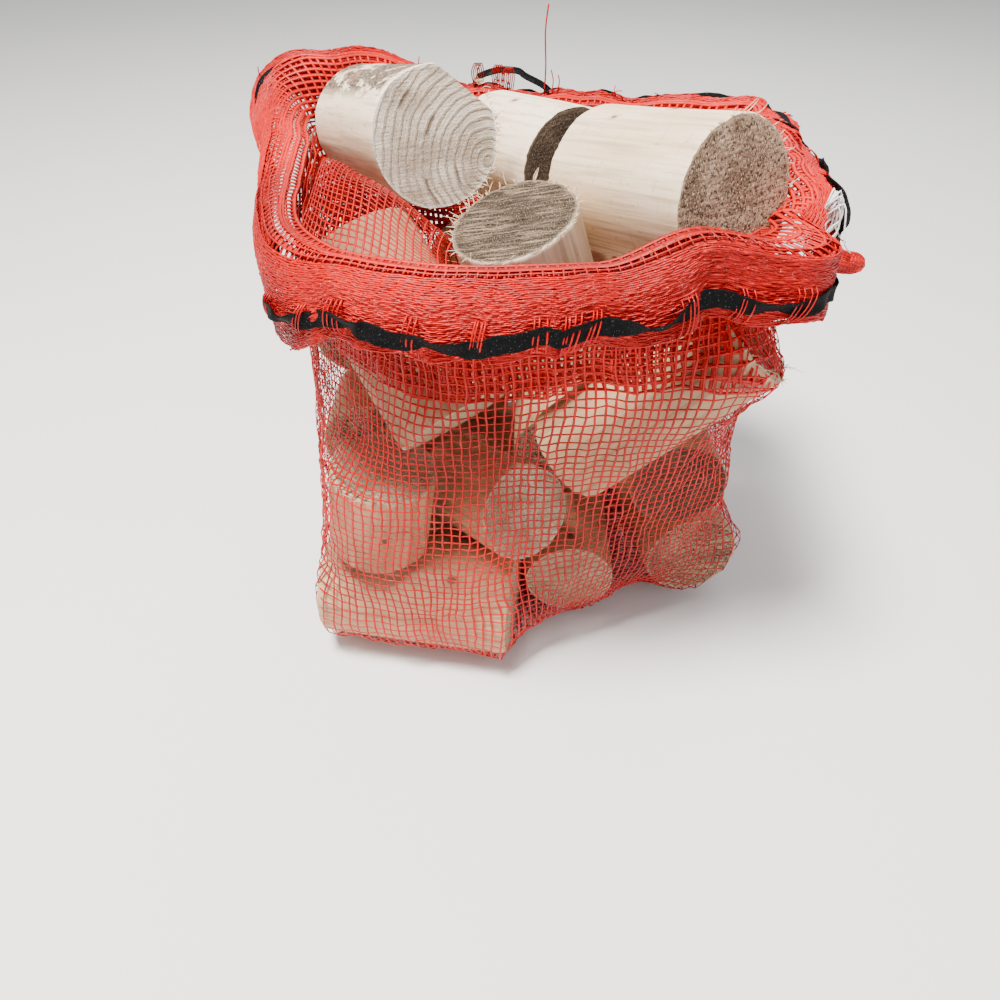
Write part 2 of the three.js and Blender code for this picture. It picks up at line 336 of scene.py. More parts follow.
endLooks = {
    'ringed': {'pale': (0.84, 0.73, 0.60), 'dark': (0.42, 0.33, 0.24), 'deep': (0.20, 0.145, 0.10),
               'ring': 0.95, 'saw': 0.10, 'fuzz': 0.5, 'pith': (-0.80, -0.40), 'gap': 0.0056, 'rough': 0.5},
    'fresh': {'pale': (0.70, 0.56, 0.39), 'dark': (0.56, 0.41, 0.26), 'deep': (0.34, 0.22, 0.13),
              'ring': 0.4, 'saw': 0.35, 'fuzz': 0.4, 'pith': (0.1, 0.05), 'gap': 0.0036, 'rough': 0.35},
    'fuzzy': {'pale': (0.56, 0.38, 0.25), 'dark': (0.22, 0.14, 0.088), 'deep': (0.04, 0.024, 0.015),
              'ring': 0.3, 'saw': 0.15, 'fuzz': 1.0, 'grit': 430, 'pith': (0.0, 0.0), 'gap': 0.0040,
              'rough': 1.0},
    'speckled': {'pale': (0.72, 0.58, 0.41), 'dark': (0.48, 0.34, 0.21), 'deep': (0.22, 0.14, 0.09),
                 'ring': 0.15, 'saw': 0.3, 'fuzz': 0.9, 'pith': (0.1, 0.1), 'gap': 0.0040, 'rough': 0.7},
    'sawn': {'pale': (0.30, 0.215, 0.14), 'dark': (0.13, 0.09, 0.057), 'deep': (0.022, 0.014, 0.010),
             'ring': 0.1, 'saw': 1.0, 'fuzz': 0.5, 'pith': (0.1, 0.1), 'gap': 0.0040, 'rough': 0.9,
             'turn': -0.26},
    # a dark weathered end, its colours darkened further as painted shade
    'barkyAndShaded': {'pale': (0.15, 0.10, 0.062), 'dark': (0.07, 0.044, 0.027), 'deep': (0.025, 0.016, 0.011),
              'ring': 0.35, 'saw': 0.1, 'fuzz': 0.8, 'pith': (0.05, 0.0), 'gap': 0.0045, 'rough': 1.0},
}


def endWood(name, kind, radius, seed):   # a cut end: year rings, saw lines and torn fibres
    look = endLooks[kind]
    material, wires = startMaterial(name + '_' + kind)
    grain = wires.node('ShaderNodeAttribute', {'attribute_name': 'grain'}, out=1)
    flat = grain.stretch((1, 1, 0), (-look['pith'][0] * radius, -look['pith'][1] * radius, seed * 0.13))
    wander = flat.stretch((38, 38, 38)).speckle(1.0, 2.0)
    away = flat.stretch((1, 1, 0)).length()
    turns = away * (2 * math.pi / look['gap']) + wander * 9.0
    rings = turns.sine() * 0.5 + 0.5
    rings = rings.step(0.50, 0.98)
    turned = flat.node('ShaderNodeMapping', {}, {'Vector': flat, 'Rotation': (0, 0, look.get('turn', 0.0))})
    across = turned.stretch((40, 620, 40)).speckle(1.0, 3.0, 0.6)
    saw = across.step(0.40, 0.62)
    fuzz = flat.stretch((look.get('grit', 900),) * 3).speckle(1.0, 4.0, 0.7)
    fibres = flat.stretch((1500, 420, 500)).speckle(1.0, 3.0, 0.6)
    blotch = flat.stretch((45, 45, 45)).speckle(1.0, 3.0)
    tint = blotch.step(0.36, 0.66).blend(look['pale'], look['dark'])
    tint = (rings * look['ring']).blend(tint, look['dark'])
    tint = ((1 - saw) * look['saw'] * 0.95).blend(tint, look['deep'])
    tint = ((1 - fuzz.step(0.40, 0.52)) * look['fuzz'] * 0.95).blend(tint, look['deep'])
    pale = tuple(min(0.9, value * 1.6 + 0.06) for value in look['pale'])
    tint = (fibres.step(0.54, 0.64) * look['fuzz'] * 0.8).blend(tint, pale)
    if kind == 'ringed':                 # a few dark cracks follow the rings
        crack = (turns * 0.25).sine().step(0.93, 0.99)
        torn = flat.stretch((30, 30, 30), (3, 1, 2)).speckle(1.0, 1.0).step(0.53, 0.60)
        tint = (crack * torn * 0.8).blend(tint, (0.12, 0.08, 0.055))
    out = grain.stretch((1, 1, 0)).length()
    rimmed = (out + (wander - 0.5) * 0.004).step(radius * 0.93, radius * 0.985)
    tint = (rimmed * 0.35).blend(tint, pale)
    height = rings * look['ring'] * 0.4 + saw * look['saw'] * 1.2 + fuzz * look['fuzz'] * 1.2
    height = height + fibres * look['fuzz'] * 0.5
    endMaterial(wires, tint, fuzz * 0.1 + 0.78, height, 0.9, 0.0014, Specular_IOR_Level=0.25)
    return material


def selectFaces(piece, wanted):
    mesh = bmesh.from_edit_mesh(piece.data)
    for face in mesh.faces:
        face.select_set(False)
    for face in mesh.faces:
        if wanted(face):
            face.select_set(True)
    bmesh.update_edit_mesh(piece.data)


def coordsOf(mesh):
    flat = np.empty(len(mesh.vertices) * 3)
    mesh.vertices.foreach_get('co', flat)
    return flat.reshape(-1, 3)


def setGrain(mesh, points):
    layer = mesh.attributes.new('grain', 'FLOAT_VECTOR', 'POINT')
    layer.data.foreach_set('vector', points.astype(np.float32).ravel())


def makeLog(name, log, look, seed):
    radius, length = log['radius'], log['length']
    fine = look.get('fine', 0)
    sides = logBuild['sides'] + 24 * fine
    bpy.ops.object.select_all(action='DESELECT')
    bpy.ops.mesh.primitive_cylinder_add(vertices=sides, radius=radius, depth=length,
                                        location=(0, 0, length / 2))
    piece = bpy.context.object
    piece.name = 'wood_' + name[4:]
    bpy.ops.object.transform_apply(location=True)
    bpy.ops.object.mode_set(mode='EDIT')
    bpy.ops.mesh.select_mode(type='EDGE')
    mesh = bmesh.from_edit_mesh(piece.data)
    for edge in mesh.edges:
        low, high = sorted(vertex.co.z for vertex in edge.verts)
        edge.select_set(high - low > length * 0.9)
    bmesh.update_edit_mesh(piece.data)
    bpy.ops.mesh.subdivide(number_cuts=logBuild['cuts'] + 10 * fine)
    bpy.ops.mesh.select_mode(type='FACE')
    selectFaces(piece, lambda face: abs(face.normal.z) > 0.9)
    bpy.ops.mesh.inset(thickness=0.0011)
    insets = logBuild['insets'] + 5 * fine
    for count in range(insets):
        bpy.ops.mesh.inset(thickness=(radius - 0.0011) / (insets + 1))
    bpy.ops.mesh.poke()
    bpy.ops.object.mode_set(mode='OBJECT')
    mesh = piece.data
    points = coordsOf(mesh)
    grain = points.copy()
    shift = Vector((seed * 3.1, seed * 1.7, seed * 0.9))
    for index, (x, y, z) in enumerate(grain):
        away = math.hypot(x, y)
        share = away / radius
        turn = Vector((x, y, 0)) / max(away, 1e-6)
        lump = noise.noise(Vector((turn.x * 1.3, turn.y * 1.3, z * 9)) + shift)
        facet = noise.noise(Vector((turn.x * 5, turn.y * 5, z * 3)) + shift)
        inward = logBuild['lump'] * (0.6 - lump) + 0.0004 * (0.5 - facet)
        fromEnd = min(z, length - z)
        kind = look['near'] if z < length / 2 else look['far']
        ragged = endLooks[kind]['rough']
        if fromEnd < 0.0015:
            chip = noise.noise(Vector((turn.x * 14, turn.y * 14, z)) + shift)
            if share > 0.965:
                inward += logBuild['rim'] * (0.5 + ragged * (0.4 + chip))
            rough = noise.noise(Vector((x * 420, y * 420, z * 9)) + shift)
            rough += 0.6 * noise.noise(Vector((x * 900, y * 900, z * 9)) + shift)
            sunk = 0.0004 * ragged * (0.8 + rough)
            if kind == 'sawn':           # long parallel ridges left by the saw
                wander = noise.noise(Vector((x * 40, y * 90, 3)) + shift)
                ridge = math.sin((y * 0.97 - x * 0.25) * 1250 + wander * 5)
                sunk += 0.0005 * (1 - ridge) * (0.6 + wander)
            if share > 0.9:
                sunk += 0.0005 * ragged * max(0, chip)
            points[index, 2] = z + sunk if z < length / 2 else z - sunk
        scale = 1 - max(0.0, inward) / radius
        points[index, 0] = x * scale
        points[index, 1] = y * scale
    if name == 'log_top_left':           # one flat sawn along it
        flat, depth = log['flat'], radius * 0.8
        across = points[:, :2] @ flat
        beyond = np.maximum(0, across - depth - 0.0003)
        points[:, :2] -= beyond[:, None] * flat
    mesh.vertices.foreach_set('co', points.ravel())
    setGrain(mesh, grain)
    for kindName in (sideWood(name, look, log, seed), endWood(name + '_near', look['near'], radius, seed),
                     endWood(name + '_far', look['far'], radius, seed + 5)):
        mesh.materials.append(kindName)
    mesh.update()
    for face in mesh.polygons:
        along = [grain[index, 2] for index in face.vertices]
        if max(along) < 1e-5 or min(along) > length - 1e-5:
            face.material_index = 1 if along[0] < length / 2 else 2
    mesh.transform(log['matrix'])
    bpy.ops.object.shade_smooth_by_angle(angle=math.radians(48))
    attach(piece, 'root')
    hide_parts(name)


def flatOf(log, node):                   # which way the slab's flat faces, across the log
    inverse = log['matrix'].inverted()
    best, way = 0, None
    groups = {}
    for face in node.data.polygons:
        normal = (inverse.to_3x3() @ face.normal).normalized()
        if abs(normal.z) < 0.5:
            key = (round(normal.x, 1), round(normal.y, 1))
            groups[key] = groups.get(key, 0) + face.area
            if groups[key] > best:
                best, way = groups[key], Vector((normal.x, normal.y)).normalized()
    return np.array(way)


logs['log_top_left']['flat'] = flatOf(logs['log_top_left'], nodes['log_top_left'])
for order, name in enumerate(sorted(logs)):
    makeLog(name, logs[name], logLooks.get(name, plainLook), order + 1)
print("logs made:", len(logs))

sack = {
    'middle': (-0.0026, 0.0044),         # of the mouth
    'half': (0.164, 0.148),
    'square': 2.8,
    'columns': 196,
    'bottomRows': 12,
    'wallRows': 58,
    'wallTop': 0.288,
    'clear': 0.0016,                     # from wood to the middle of a strand
    'gap': 0.005,
    'steps': 240,
}
# angle from +X towards the back, height of the fold, then the way the cloth heads (90 is up) at
# the fold and 12, 30 and 50 mm past it, its length, the length with open cells, and the tape's place
mouthStations = np.array([
    (0, 0.338, 88, 85, 76, -80, 0.066, 0.046, 0.055), (33, 0.318, 88, 84, 78, 50, 0.048, 0.030, 0.043),
    (65, 0.314, 88, 86, 84, 80, 0.044, 0.013, 0.041), (100, 0.317, 88, 86, 84, 80, 0.044, 0.012, 0.041),
    (135, 0.344, 88, 82, 75, 60, 0.050, 0.018, 0.038), (160, 0.352, 60, 20, -20, -90, 0.072, 0.030, 0.062),
    (185, 0.350, 45, 5, -52, -96, 0.084, 0.034, 0.072), (211, 0.348, 55, -10, -70, -94, 0.088, 0.026, 0.066),
    (236, 0.348, 80, -40, -84, -88, 0.057, 0.014, 0.043),
    (254, 0.347, 80, -40, -86, -88, 0.057, 0.013, 0.045),
    (283, 0.349, 80, -40, -86, -88, 0.055, 0.013, 0.044),
    (302, 0.366, 80, -40, -86, -88, 0.060, 0.015, 0.050),
    (318, 0.354, 84, -10, -82, -89, 0.058, 0.018, 0.046), (336, 0.346, 88, 84, 40, -89, 0.062, 0.030, 0.050),
])
headingRuns = np.array((0.0, 0.012, 0.030, 0.050))


def mouthAt(angles):                     # every value of the stations, eased from one to the next
    angles = np.mod(angles, 360)
    low = np.searchsorted(mouthStations[:, 0], angles, side='right') - 1
    high = (low + 1) % len(mouthStations)
    span = np.mod(mouthStations[high, 0] - mouthStations[low, 0], 360)
    share = np.mod(angles - mouthStations[low, 0], 360) / span
    share = (share * share * (3 - 2 * share))[:, None]
    values = mouthStations[low, 1:] * (1 - share) + mouthStations[high, 1:] * share
    return {'fold': values[:, 0], 'heads': values[:, 1:5].T, 'length': values[:, 5], 'open': values[:, 6],
            'tape': values[:, 7]}


def logShell():                          # points round every log
    points = []
    turns = np.radians(np.arange(0, 360, 11.25))
    for log in logs.values():
        matrix = np.array(log['matrix'])
        for share in np.linspace(0, 1, 13):
            ring = np.column_stack((np.cos(turns) * log['radius'], np.sin(turns) * log['radius'],
                                    np.full(len(turns), share * log['length'])))
            points.append(ring @ matrix[:3, :3].T + matrix[:3, 3])
    return np.concatenate(points)


def stretchedRound(points):              # reach of a tight net round the points, at 720 angles
    ways = np.radians(np.arange(0, 360, 0.5))
    flat = points[:, :2] - np.array(sack['middle'])
    held = (flat @ np.vstack((np.cos(ways), np.sin(ways)))).max(0) + sack['gap']
    reach = np.full(720, 9.0)
    for lean in range(-160, 161, 4):
        reach = np.minimum(reach, np.roll(held, -lean) / math.cos(math.radians(lean / 2)))
    return reach


def mouthReach(degrees):
    turn = np.radians(degrees)
    x = np.abs(np.cos(turn) / sack['half'][0]) ** sack['square']
    y = np.abs(np.sin(turn) / sack['half'][1]) ** sack['square']
    return (x + y) ** (-1 / sack['square'])


fineAngles = np.arange(0, 360, 0.5)
shell = logShell()
heights = np.arange(0, 0.2881, 0.024)
wallReach = np.array([stretchedRound(shell[np.abs(shell[:, 2] - height) <= 0.024]) for height in heights])
inward = 0.013 * np.clip(1 - np.abs(fineAngles - 192) / 36, 0, 1) ** 0.7      # the left edge leans in
inward = inward + 0.006 * np.clip(1.3 - np.abs(fineAngles - 332) / 26, 0, 1)
rimReach = np.maximum(mouthReach(fineAngles), stretchedRound(shell[shell[:, 2] > 0.318])) - inward


def atAngles(values, angles):
    return np.interp(np.mod(angles, 360), np.append(fineAngles, 360), np.append(values, values[0]))


def evenAngles(count):                   # columns an equal way apart round the sack
    reach = wallReach[5:9].mean(0) * 0.5 + rimReach * 0.5
    turn = np.radians(fineAngles)
    outline = np.column_stack((np.cos(turn) * reach, np.sin(turn) * reach))
    steps = np.linalg.norm(np.roll(outline, -1, 0) - outline, axis=1)
    run = np.concatenate(([0], np.cumsum(steps)))
    return np.interp(np.arange(count) / count * run[-1], run, np.append(fineAngles, 360))


angles = evenAngles(sack['columns'])
outWay = np.column_stack((np.cos(np.radians(angles)), np.sin(np.radians(angles)), np.zeros(len(angles))))
sackMiddle = np.array((*sack['middle'], 0.0))


def spread(reach, height):               # points of one row, from the reach and height of each column
    return sackMiddle + outWay * np.asarray(reach)[:, None] + np.column_stack(
        (np.zeros(len(angles)), np.zeros(len(angles)), np.broadcast_to(height, len(angles))))


def startWall():
    foldHeight = mouthAt(angles)['fold']
    rim = atAngles(rimReach, angles)
    walls = np.array([atAngles(reach, angles) for reach in wallReach])
    rows = []
    for row in range(sack['bottomRows']):
        share = row / sack['bottomRows']
        rows.append(spread(walls[0] * (0.04 + 0.96 * share), 0.0009))
    for row in range(sack['wallRows'] + 1):
        height = foldHeight * row / sack['wallRows']
        reach = np.empty(len(angles))
        for column in range(len(angles)):
            hips = walls[-1][column]
            shoulder = sack['wallTop'] + 0.4 * (foldHeight[column] - sack['wallTop'])
            levels = np.concatenate((heights, (shoulder, foldHeight[column])))
            reaches = np.concatenate((walls[:, column], (max(hips, rim[column]), rim[column])))
            reach[column] = np.interp(height[column], levels, reaches)
        rows.append(spread(reach, np.maximum(height, 0.0009)))
    return np.array(rows)


def offLogs(points, clear):              # pushes points out of the wood
    flat = points.reshape(-1, 3)
    for log in logs.values():
        matrix = np.array(log['matrix'])
        local = (flat - matrix[:3, 3]) @ matrix[:3, :3]
        half = log['length'] / 2
        across = np.hypot(local[:, 0], local[:, 1])
        ends = local[:, 2] - half
        side = across - log['radius']
        cap = np.abs(ends) - half
        near = (side < clear) & (cap < clear)
        if not near.any():
            continue
        side, cap, ends, across = side[near], cap[near], ends[near], across[near]
        moved = local[near]
        outSide, outCap = np.maximum(side, 0), np.maximum(cap, 0)
        length = np.hypot(outSide, outCap)
        inside = length < 1e-9
        pushSide = np.where(inside, side > cap, outSide / np.maximum(length, 1e-9))
        pushCap = np.where(inside, side <= cap, outCap / np.maximum(length, 1e-9))
        deep = np.where(inside, np.maximum(side, cap), length)
        push = np.maximum(0, clear - deep)
        moved[:, :2] += moved[:, :2] / np.maximum(across, 1e-6)[:, None] * (push * pushSide)[:, None]
        moved[:, 2] += np.sign(ends) * push * pushCap
        flat[near] = moved @ matrix[:3, :3].T + matrix[:3, 3]
    return flat.reshape(points.shape)


def waves(points, scale, seed):          # smooth noise at every point, -1 to 1
    shift = Vector((seed * 5.3, seed * 2.9, seed * 1.1))
    flat = [noise.noise(Vector(point) * scale + shift) for point in points.reshape(-1, 3)]
    return np.array(flat).reshape(points.shape[:-1]) * 1.6


def surfaceWays(points, closed=True):    # unit ways along a row, up a column and outwards
    if closed:
        along = np.roll(points, -1, 1) - np.roll(points, 1, 1)
    else:
        along = np.gradient(points, axis=1)
    upward = np.gradient(points, axis=0)
    outward = np.cross(along, upward)
    for way in (along, upward, outward):
        way /= np.maximum(np.linalg.norm(way, axis=2), 1e-9)[:, :, None]
    return along, upward, outward


def tightened():                         # the wall drawn in between the logs, like a stretched skin
    points = startWall()
    top = points[-1].copy()
    first = points[:3].copy()
    for step in range(sack['steps']):
        sideways = (np.roll(points, 1, 1) + np.roll(points, -1, 1)) / 2
        upright = points.copy()
        upright[1:-1] = (points[:-2] + points[2:]) / 2
        points = points + (sideways - points) * 0.42 + (upright - points) * 0.40
        points[:, :, 2] = np.maximum(points[:, :, 2], 0.0008)
        points = offLogs(points, sack['clear'])
        points[-1] = top
        points[:3] = first
    along, upward, outward = surfaceWays(points)
    order = np.arange(len(points))
    fade = np.clip(order / 8, 0, 1) * np.clip((len(points) - 1 - order) / 5, 0, 1)
    fade = fade[:, None, None]
    points = points + along * (waves(points, 22, 1) * 0.0032)[:, :, None] * fade
    points = points + upward * (waves(points, 17, 2) * 0.0042)[:, :, None] * fade
    crease = np.abs(waves(points * np.array((1.0, 1.0, 0.45)), 34, 3))
    points = points + outward * (np.maximum(0, 0.5 - crease) * 0.0055)[:, :, None] * fade
    jitter = np.random.default_rng(5).normal(0, 0.00034, points.shape)
    points = points + jitter * fade
    points[:, :, 2] = np.maximum(points[:, :, 2], 0.0008)
    return offLogs(points, sack['clear'])


wall = tightened()
print("net wall drawn tight:", wall.shape)

strand = {'wide': 0.0015, 'thick': 0.0007, 'over': 0.0003}


def tubesAlong(paths, faceWays, wide, thick, closed=False):
    # flat four-sided tubes along paths (paths x points x 3), their broad side facing faceWays
    if closed:
        ahead = np.roll(paths, -1, 1) - np.roll(paths, 1, 1)
    else:
        ahead = np.gradient(paths, axis=1)
    ahead /= np.maximum(np.linalg.norm(ahead, axis=2), 1e-9)[:, :, None]
    across = np.cross(faceWays, ahead)
    across /= np.maximum(np.linalg.norm(across, axis=2), 1e-9)[:, :, None]
    face = np.cross(ahead, across)
    wide = np.broadcast_to(wide, paths.shape[:2])[:, :, None] / 2
    thick = np.broadcast_to(thick, paths.shape[:2])[:, :, None] / 2
    corners = np.stack((paths + across * wide, paths + face * thick, paths - across * wide,
                        paths - face * thick), axis=2)
    count, length = paths.shape[:2]
    index = np.arange(count * length * 4).reshape(count, length, 4)
    here = index if closed else index[:, :-1]
    there = np.roll(index, -1, 1) if closed else index[:, 1:]
    quads = np.stack((here, np.roll(here, -1, 2), np.roll(there, -1, 2), there), axis=-1).reshape(-1, 4)
    quads = quads[:, [1, 2, 3, 0]]
    if not closed:
        quads = np.concatenate((quads, index[:, 0, ::-1], index[:, -1]))
    return corners.reshape(-1, 3), quads


def netOn(rows, ways, upWide, roundWide, thick=0.0006):   # strands up and round closed rows of points
    return [tubesAlong(rows.transpose(1, 0, 2), ways.transpose(1, 0, 2), upWide, thick),
            tubesAlong(rows, ways, roundWide, thick, closed=True)]


def pieceFrom(name, shapes, material, stands=()):
    points, faces, total = [], [], 0
    for corners, quads in shapes:
        points.append(corners)
        faces.append(quads + total)
        total += len(corners)
    points, faces = np.concatenate(points), np.concatenate(faces)
    mesh = bpy.data.meshes.new(name)
    mesh.vertices.add(len(points))
    mesh.vertices.foreach_set('co', points.ravel())
    mesh.loops.add(faces.size)
    mesh.loops.foreach_set('vertex_index', faces.ravel())
    mesh.polygons.add(len(faces))
    mesh.polygons.foreach_set('loop_start', np.arange(0, faces.size, faces.shape[1]))
    mesh.update(calc_edges=True)
    mesh.validate()
    piece = bpy.data.objects.new(name, mesh)
    bpy.context.scene.collection.objects.link(piece)
    mesh.materials.append(material)
    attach(piece, 'root')
    if stands:
        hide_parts(*stands)
    return piece


def redNet(name, bright, deep, glint, rough=0.42):
    material, wires = startMaterial(name)
    place = wires.node('ShaderNodeTexCoord', out=3)
    broad = place.speckle(9.0, 2.0)
    fine = place.speckle(240.0, 2.0)
    tint = broad.step(0.38, 0.64).blend(bright, deep)
    tint = (fine.step(0.60, 0.70) * 0.25).blend(tint, (0.86, 0.09, 0.06))
    tint = ((1 - fine.step(0.32, 0.44)) * 0.35).blend(tint, tuple(value * 0.6 for value in deep))
    # painted glints: tiny pale pink spots mixed into the red
    paintedGlints = place.speckle(1500.0, 1.0)
    tint = (paintedGlints.step(0.69, 0.74) * glint).blend(tint, (0.95, 0.62, 0.56))
    endMaterial(wires, tint, fine * 0.2 + (rough - 0.1), None, Specular_IOR_Level=0.22)
    return material


def plainThread(name, pale, dark):
    material, wires = startMaterial(name)
    place = wires.node('ShaderNodeTexCoord', out=3)
    endMaterial(wires, place.speckle(700.0, 2.0).step(0.4, 0.65).blend(pale, dark), 0.85, None)
    return material


netRed = redNet('netRed', (0.58, 0.006, 0.004), (0.38, 0.004, 0.003), 0.25)
bandRed = redNet('bandRed', (0.48, 0.0015, 0.0015), (0.31, 0.001, 0.001), 0.4)
widths = strand['wide'] * (1 + 0.16 * waves(wall, 260, 4))
outward = surfaceWays(wall)[2]
columnsOut = outward.transpose(1, 0, 2)
netUpright = tubesAlong(wall.transpose(1, 0, 2) + columnsOut * strand['over'], columnsOut,
                        widths.T * 1.05, strand['thick'])
netRound = tubesAlong(wall[1:], outward[1:], widths[1:] * 0.92, strand['thick'], closed=True)
pieceFrom('net_strands_upright', [netUpright], netRed, ['net_bag'])
pieceFrom('net_strands_round', [netRound], netRed)
print("net strands made")


def tornFibres():                        # wood fibres left standing on the rims
    dice = np.random.default_rng(21)
    paths = []
    for name, look in logLooks.items():
        log = logs[name]
        matrix = np.array(log['matrix'])
        for end, low, high, count in look.get('tufts', []):
            for order in range(count):
                turn = math.radians(dice.uniform(low, high))
                out = np.array((math.cos(turn), math.sin(turn), 0.0))
                aside = np.array((-math.sin(turn), math.cos(turn), 0.0))
                long = 0.0022 + 0.0055 * dice.random() ** 2
                way = out * dice.uniform(0.1, 0.9) + aside * dice.normal(0, 0.5) + np.array((0, 0, -0.7))
                bend = dice.normal(0, 0.35, 3)
                start = out * (log['radius'] - 0.0012) + np.array((0, 0, 0.0012))
                shares = np.linspace(0, 1, 5)[:, None]
                local = start + way * long * shares + bend * long * shares ** 2
                paths.append(local @ matrix[:3, :3].T + matrix[:3, 3])
    paths = np.array(paths)
    faces = np.broadcast_to(np.array((0.2, -0.6, 0.77)), paths.shape)
    taper = np.broadcast_to(np.array((1.0, 0.95, 0.8, 0.6, 0.25)), paths.shape[:2])
    return [tubesAlong(paths, faces, 0.00062 * taper, 0.00030 * taper)]


fibreWood = plainThread('tornFibre', (0.80, 0.66, 0.48), (0.62, 0.46, 0.30))
pieceFrom('torn_fibres', tornFibres(), fibreWood)

cuff = {                                 # the turned-out top
    'clear': 0.007,                      # from the wall to the hanging cloth
    'columns': 588,
    'rows': 40,
    'ruffle': 0.0022,
    'flare': 0.0022,
}


def cuffProfile(angles, run):            # reach and height of the cloth, run metres past the fold
    mouth = mouthAt(angles)
    heads = mouth['heads']
    rim = atAngles(rimReach, angles)
    hips = atAngles(wallReach[-1], angles)
    steps = 40
    reach, height = rim.copy(), mouth['fold'].copy()
    stretch = run / steps
    for step in range(steps):
        here = (step + 0.5) * stretch
        way = heads[0]
        for low in range(3):
            part = (here - headingRuns[low]) / (headingRuns[low + 1] - headingRuns[low])
            way = way + (heads[low + 1] - heads[low]) * np.clip(part, 0, 1)
        way = np.radians(way)
        reach = reach + np.cos(way) * stretch
        height = height + np.sin(way) * stretch
    hangs = np.clip(-heads[2] / 80, 0, 1)
    hangs = hangs * hangs * (3 - 2 * hangs) * np.minimum(1, run / 0.018)
    behind = np.maximum(rim, hips) + cuff['clear']
    return np.maximum(reach, rim * (1 - hangs) + behind * hangs), height


def ripple(angles, scale, seed):         # smooth noise round the mouth
    turn = np.radians(angles)
    places = [Vector((math.cos(way) * scale, math.sin(way) * scale, seed * 3.7)) for way in turn]
    return np.array([noise.noise(place) * 1.6 for place in places])


def bump(angles, middle, half):          # 1 at the middle, 0 from half a width away
    off = np.abs(np.mod(angles - middle + 180, 360) - 180) / half
    return np.clip(1 - off, 0, 1) ** 2 * (1 + 2 * np.clip(off, 0, 1))


def cuffPoints(angles, runs, lift=0.0, twist=0.0):
    # rows of points at the given runs; lift stands them off the cloth, twist leans them round
    length = mouthAt(angles)['length']
    front = 0.25 + 0.75 * bump(angles, 268, 75)
    base, small = ripple(angles, 7, 1), ripple(angles, 19, 2) * front
    rows = []
    for run in runs:
        run = np.broadcast_to(run, angles.shape)
        share = np.clip(run / length, 0, 1.3)
        turned = angles + twist * share + 1.1 * ripple(angles, 12, 6) * share
        reach, height = cuffProfile(turned, run * (1 + 0.07 * base))
        flare = cuff['flare'] * (1 + base) * front + cuff['ruffle'] * (0.5 + small) * share
        reach = reach + share ** 1.5 * flare + lift
        ways = np.radians(turned)
        rows.append(np.column_stack((sack['middle'][0] + np.cos(ways) * reach,
                                     sack['middle'][1] + np.sin(ways) * reach, height)))
    return np.array(rows)


def evenFine(count):
    place = np.arange(count) / count * len(angles)
    return np.interp(place, np.arange(len(angles) + 1), np.append(angles, angles[0] + 360))


# open cells from the fold to the close weave
openRuns = [mouthAt(angles)['open'] * (row + 1) / 5 for row in range(5)]
openRows = np.concatenate((wall[-1:], cuffPoints(angles, openRuns)))
openOut = surfaceWays(openRows)[2]
openUpright = tubesAlong(openRows.transpose(1, 0, 2), openOut.transpose(1, 0, 2), 0.0014, 0.0007)
openRound = tubesAlong(openRows[1:], openOut[1:], 0.0013, 0.0007, closed=True)

# the close weave down to the hem
fine = evenFine(cuff['columns'])
mouth = mouthAt(fine)
weaveRuns = [mouth['open'] + (mouth['length'] - mouth['open']) * share
             for share in np.linspace(0, 1, cuff['rows'])]
weave = cuffPoints(fine, weaveRuns)
seeded = np.random.default_rng(8)
weave = weave + seeded.normal(0, 0.00018, weave.shape)
weaveOut = surfaceWays(weave)[2]
rowWide = 0.00145 * (1 + 0.22 * seeded.normal(0, 1, weave.shape[:2]).clip(-1, 1))
weaveRound = tubesAlong(weave, weaveOut, rowWide, 0.0007, closed=True)
lean = np.array([np.roll(row, order // 5, axis=0) for order, row in enumerate(weave)])
weaveUpright = tubesAlong((lean + weaveOut * 0.0005)[::3].transpose(1, 0, 2),
                          weaveOut[::3].transpose(1, 0, 2), 0.00105, 0.0006)
pieceFrom('mouth_net_open', [openUpright, openRound], bandRed)
pieceFrom('mouth_band_round', [weaveRound], bandRed)
pieceFrom('mouth_band_upright', [weaveUpright], bandRed)


insideNet = {'upWide': 0.0026, 'roundWide': 0.0028, 'liningWide': 0.0024, 'lifts': (-0.0026, -0.0052)}


# more net folded inside the mouth, which makes its inner wall close and dark
def liningAt(order):
    rows = wall[-15 + order:].copy()
    rows = rows * 0.5 + np.roll(rows, 1, 1) * 0.5 if order else rows
    reach = 1 - (0.0026 + 0.0028 * order) / 0.16
    middle = np.array((sack['middle'][0], sack['middle'][1]))
    rows[:, :, :2] = middle + (rows[:, :, :2] - middle) * reach
    rows = rows + (waves(rows, 30, 15 + order) * 0.0022)[:, :, None]
    rows[:, :, 2] -= 0.0024 + 0.001 * order
    rows = offLogs(rows, 0.0012)
    out = surfaceWays(rows)[2]
    return netOn(rows, out, insideNet['upWide'], insideNet['liningWide'])


pieceFrom('mouth_net_lining', liningAt(0) + liningAt(1), netRed)

# the same net turned back on itself behind the band, with open cells
backAngles = angles + 0.4
backRuns = [0.004 + (mouthAt(backAngles)['length'] * 0.92 - 0.004) * share for share in np.linspace(0, 1, 10)]
backing = offLogs(cuffPoints(backAngles, backRuns, lift=insideNet['lifts'][0]), sack['clear'])
backingOut = surfaceWays(backing)[2]
pieceFrom('mouth_net_behind', netOn(backing, backingOut, insideNet['upWide'], insideNet['roundWide']),
          netRed)
innerRuns = [run * 0.93 + 0.002 for run in backRuns]
second = offLogs(cuffPoints(angles + 1.3, innerRuns, lift=insideNet['lifts'][1]), sack['clear'])
secondOut = surfaceWays(second)[2]
pieceFrom('mouth_net_inmost', netOn(second, secondOut, insideNet['upWide'], insideNet['roundWide']),
          netRed)
print("mouth band made")

tape = {                                 # the black drawstring, flat and woven
    'wide': 0.0108,
    'thick': 0.0009,
    'lift': 0.0034,
    'points': 900,
    'sway': 0.0034,
}
